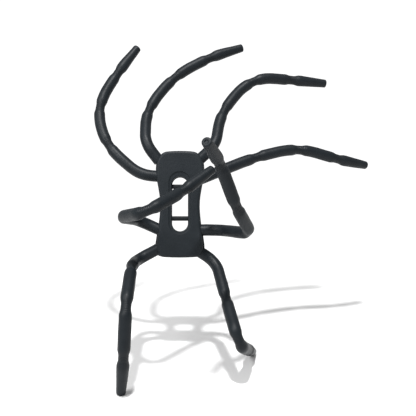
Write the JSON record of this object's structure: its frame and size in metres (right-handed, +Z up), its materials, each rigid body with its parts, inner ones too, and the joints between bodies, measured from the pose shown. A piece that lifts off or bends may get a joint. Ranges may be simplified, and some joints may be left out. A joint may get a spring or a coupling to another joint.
{
  "type": "flexible leg phone holder",
  "caption": "Bendable spider-shaped phone holder: a waisted, slotted centre plate carries long wire-cored rubber legs that bend at narrow necks to grip, hang or stand.",
  "frame": {"origin": "centre of the bounding box at the level of the two feet", "axes": "+Z up, +Y from the front panel to the rear, +X to the right seen from the front; the plate leans back 15 degrees"},
  "size_m": [0.2074, 0.1612, 0.2199],
  "materials": {
    "panel_black": "satin moulded plastic, near black",
    "frame_black": "matt moulded plastic, near black",
    "rubber_black": "soft matt rubber, near black",
    "steel_wire": "drawn steel wire"
  },
  "bodies": {
    "plate_body": {"wire_frame": "frame_black", "front_panel": "panel_black", "rear_panel": "panel_black", "leg1_wire": "steel_wire", "leg2_wire": "steel_wire", "leg3_wire": "steel_wire", "leg4_wire": "steel_wire", "leg5_wire": "steel_wire", "leg6_wire": "steel_wire", "leg7_wire": "steel_wire", "leg8_wire": "steel_wire"},
    "leg1_base_body": {"leg1_base": "rubber_black"},
    "leg1_second_body": {"leg1_second": "rubber_black"},
    "leg1_third_body": {"leg1_third": "rubber_black"},
    "leg1_tip_body": {"leg1_tip": "rubber_black"},
    "leg2_base_body": {"leg2_base": "rubber_black"},
    "leg2_second_body": {"leg2_second": "rubber_black"},
    "leg2_third_body": {"leg2_third": "rubber_black"},
    "leg2_tip_body": {"leg2_tip": "rubber_black"},
    "leg3_base_body": {"leg3_base": "rubber_black"},
    "leg3_second_body": {"leg3_second": "rubber_black"},
    "leg3_third_body": {"leg3_third": "rubber_black"},
    "leg3_tip_body": {"leg3_tip": "rubber_black"},
    "leg4_base_body": {"leg4_base": "rubber_black"},
    "leg4_second_body": {"leg4_second": "rubber_black"},
    "leg4_third_body": {"leg4_third": "rubber_black"},
    "leg4_tip_body": {"leg4_tip": "rubber_black"},
    "leg5_base_body": {"leg5_base": "rubber_black"},
    "leg5_second_body": {"leg5_second": "rubber_black"},
    "leg5_third_body": {"leg5_third": "rubber_black"},
    "leg5_tip_body": {"leg5_tip": "rubber_black"},
    "leg6_base_body": {"leg6_base": "rubber_black"},
    "leg6_second_body": {"leg6_second": "rubber_black"},
    "leg6_third_body": {"leg6_third": "rubber_black"},
    "leg6_tip_body": {"leg6_tip": "rubber_black"},
    "leg7_base_body": {"leg7_base": "rubber_black"},
    "leg7_second_body": {"leg7_second": "rubber_black"},
    "leg7_third_body": {"leg7_third": "rubber_black"},
    "leg7_tip_body": {"leg7_tip": "rubber_black"},
    "leg8_base_body": {"leg8_base": "rubber_black"},
    "leg8_second_body": {"leg8_second": "rubber_black"},
    "leg8_third_body": {"leg8_third": "rubber_black"},
    "leg8_tip_body": {"leg8_tip": "rubber_black"}
  },
  "joints": [
    {"name": "leg1_root", "type": "hinge", "parent": "plate_body", "child": "leg1_base_body", "pos_m": [-0.06025, 0.01363, 0.12679], "axis": [0.0872, 0.2578, 0.9623], "range_deg": [-40, 40], "deforming": ["leg1_wire"]},
    {"name": "leg1_neck1", "type": "hinge", "parent": "leg1_base_body", "child": "leg1_second_body", "pos_m": [-0.09117, 0.02477, 0.14744], "axis": [0.8294, 0.1446, 0.5396], "range_deg": [-40, 40]},
    {"name": "leg1_neck2", "type": "hinge", "parent": "leg1_second_body", "child": "leg1_third_body", "pos_m": [-0.09972, 0.04454, 0.173], "axis": [-0.0318, 0.8085, -0.5877], "range_deg": [-40, 30]},
    {"name": "leg1_neck3", "type": "hinge", "parent": "leg1_third_body", "child": "leg1_tip_body", "pos_m": [-0.08846, 0.06111, 0.19763], "axis": [-0.8701, 0.1276, 0.4761], "range_deg": [-40, 40]},
    {"name": "leg2_root", "type": "hinge", "parent": "plate_body", "child": "leg2_base_body", "pos_m": [-0.05935, 0.01793, 0.14282], "axis": [0.788, 0.1593, 0.5947], "range_deg": [-40, 40], "deforming": ["leg2_wire"]},
    {"name": "leg2_neck1", "type": "hinge", "parent": "leg2_base_body", "child": "leg2_second_body", "pos_m": [-0.06314, 0.04334, 0.17121], "axis": [0.95, -0.0808, -0.3016], "range_deg": [-40, 40]},
    {"name": "leg2_neck2", "type": "hinge", "parent": "leg2_second_body", "child": "leg2_third_body", "pos_m": [-0.04484, 0.0594, 0.19438], "axis": [0.1536, -0.9081, 0.3896], "range_deg": [-40, 40]},
    {"name": "leg2_neck3", "type": "hinge", "parent": "leg2_third_body", "child": "leg2_tip_body", "pos_m": [-0.01845, 0.0695, 0.20914], "axis": [0.4321, -0.2334, -0.8711], "range_deg": [-40, 40]},
    {"name": "leg3_root", "type": "hinge", "parent": "plate_body", "child": "leg3_base_body", "pos_m": [-0.02075, 0.0178, 0.14234], "axis": [0.6691, -0.1923, -0.7178], "range_deg": [-40, 40], "deforming": ["leg3_wire"]},
    {"name": "leg3_neck1", "type": "hinge", "parent": "leg3_base_body", "child": "leg3_second_body", "pos_m": [-0.00784, 0.04168, 0.17022], "axis": [-0.897, 0.1144, 0.4271], "range_deg": [-40, 40]},
    {"name": "leg3_neck2", "type": "hinge", "parent": "leg3_second_body", "child": "leg3_third_body", "pos_m": [0.01447, 0.05422, 0.19165], "axis": [-0.2209, 0.9083, -0.3551], "range_deg": [-40, 40]},
    {"name": "leg3_neck3", "type": "hinge", "parent": "leg3_third_body", "child": "leg3_tip_body", "pos_m": [0.04434, 0.0647, 0.19274], "axis": [-0.0128, -0.2588, -0.9658], "range_deg": [-40, 40]},
    {"name": "leg4_root", "type": "hinge", "parent": "plate_body", "child": "leg4_base_body", "pos_m": [-0.01995, 0.01355, 0.1265], "axis": [-0.3746, 0.24, 0.8956], "range_deg": [-40, 40], "deforming": ["leg4_wire"]},
    {"name": "leg4_neck1", "type": "hinge", "parent": "leg4_base_body", "child": "leg4_second_body", "pos_m": [0.01556, 0.02739, 0.13796], "axis": [0.3232, -0.2449, -0.9141], "range_deg": [-40, 40]},
    {"name": "leg4_neck2", "type": "hinge", "parent": "leg4_second_body", "child": "leg4_third_body", "pos_m": [0.04759, 0.03747, 0.14218], "axis": [-0.2504, 0.9356, -0.2489], "range_deg": [-40, 40]},
    {"name": "leg4_neck3", "type": "hinge", "parent": "leg4_third_body", "child": "leg4_tip_body", "pos_m": [0.07773, 0.04467, 0.13461], "axis": [0.1877, 0.2542, 0.9488], "range_deg": [-40, 40]},
    {"name": "leg5_root", "type": "hinge", "parent": "plate_body", "child": "leg5_base_body", "pos_m": [-0.05995, 0.00439, 0.0923], "axis": [0.4226, 0.2346, 0.8754], "range_deg": [-40, 40], "deforming": ["leg5_wire"]},
    {"name": "leg5_neck1", "type": "hinge", "parent": "leg5_base_body", "child": "leg5_second_body", "pos_m": [-0.0757, -0.02555, 0.10562], "axis": [-0.9891, -0.1469, 0], "range_deg": [-40, 35]},
    {"name": "leg5_neck2", "type": "hinge", "parent": "leg5_second_body", "child": "leg5_third_body", "pos_m": [-0.05718, -0.05058, 0.11538], "axis": [-0.117, -0.9704, 0.2115], "range_deg": [-40, 40]},
    {"name": "leg5_neck3", "type": "hinge", "parent": "leg5_third_body", "child": "leg5_tip_body", "pos_m": [-0.03599, -0.02943, 0.12376], "axis": [0.6048, -0.2061, -0.7692], "range_deg": [-40, 40]},
    {"name": "leg6_root", "type": "hinge", "parent": "plate_body", "child": "leg6_base_body", "pos_m": [-0.01945, 0.00364, 0.0895], "axis": [0, 0.2588, 0.9659], "range_deg": [-30, 40], "deforming": ["leg6_wire"]},
    {"name": "leg6_neck1", "type": "hinge", "parent": "leg6_base_body", "child": "leg6_second_body", "pos_m": [0.00661, -0.02298, 0.09511], "axis": [-0.9837, -0.18, 0], "range_deg": [-40, 40]},
    {"name": "leg6_neck2", "type": "hinge", "parent": "leg6_second_body", "child": "leg6_third_body", "pos_m": [-0.00211, -0.04673, 0.1171], "axis": [0.3131, -0.862, -0.3987], "range_deg": [-40, 40]},
    {"name": "leg6_neck3", "type": "hinge", "parent": "leg6_third_body", "child": "leg6_tip_body", "pos_m": [-0.01271, -0.05747, 0.14513], "axis": [-0.8761, -0.1248, -0.4657], "range_deg": [-40, 40]},
    {"name": "leg7_root", "type": "hinge", "parent": "plate_body", "child": "leg7_base_body", "pos_m": [-0.06155, -0.00071, 0.07328], "axis": [0.4695, -0.2285, -0.8529], "range_deg": [-40, 40], "deforming": ["leg7_wire"]},
    {"name": "leg7_neck1", "type": "hinge", "parent": "leg7_base_body", "child": "leg7_second_body", "pos_m": [-0.06972, -0.03565, 0.07324], "axis": [-0.9994, -0.0087, -0.0325], "range_deg": [-40, 40]},
    {"name": "leg7_neck2", "type": "hinge", "parent": "leg7_second_body", "child": "leg7_third_body", "pos_m": [-0.06979, -0.06588, 0.0588], "axis": [0.012, -0.7985, 0.6019], "range_deg": [-40, 40]},
    {"name": "leg7_neck3", "type": "hinge", "parent": "leg7_third_body", "child": "leg7_tip_body", "pos_m": [-0.07152, -0.07158, 0.02778], "axis": [-0.9958, 0.0236, 0.0881], "range_deg": [-40, 40]},
    {"name": "leg8_root", "type": "hinge", "parent": "plate_body", "child": "leg8_base_body", "pos_m": [-0.02145, -0.00102, 0.07212], "axis": [0.5299, 0.2195, 0.8192], "range_deg": [-40, 40], "deforming": ["leg8_wire"]},
    {"name": "leg8_neck1", "type": "hinge", "parent": "leg8_base_body", "child": "leg8_second_body", "pos_m": [-0.00766, -0.02917, 0.05025], "axis": [-0.9641, -0.0687, -0.2564], "range_deg": [-40, 40]},
    {"name": "leg8_neck2", "type": "hinge", "parent": "leg8_second_body", "child": "leg8_third_body", "pos_m": [-0.00024, -0.05563, 0.03248], "axis": [0.0872, -0.9947, 0.0549], "range_deg": [-40, 40]},
    {"name": "leg8_neck3", "type": "hinge", "parent": "leg8_third_body", "child": "leg8_tip_body", "pos_m": [0.00688, -0.03143, 0.01498], "axis": [-0.9783, 0.2073, 0], "range_deg": [-40, 40]}
  ]
}
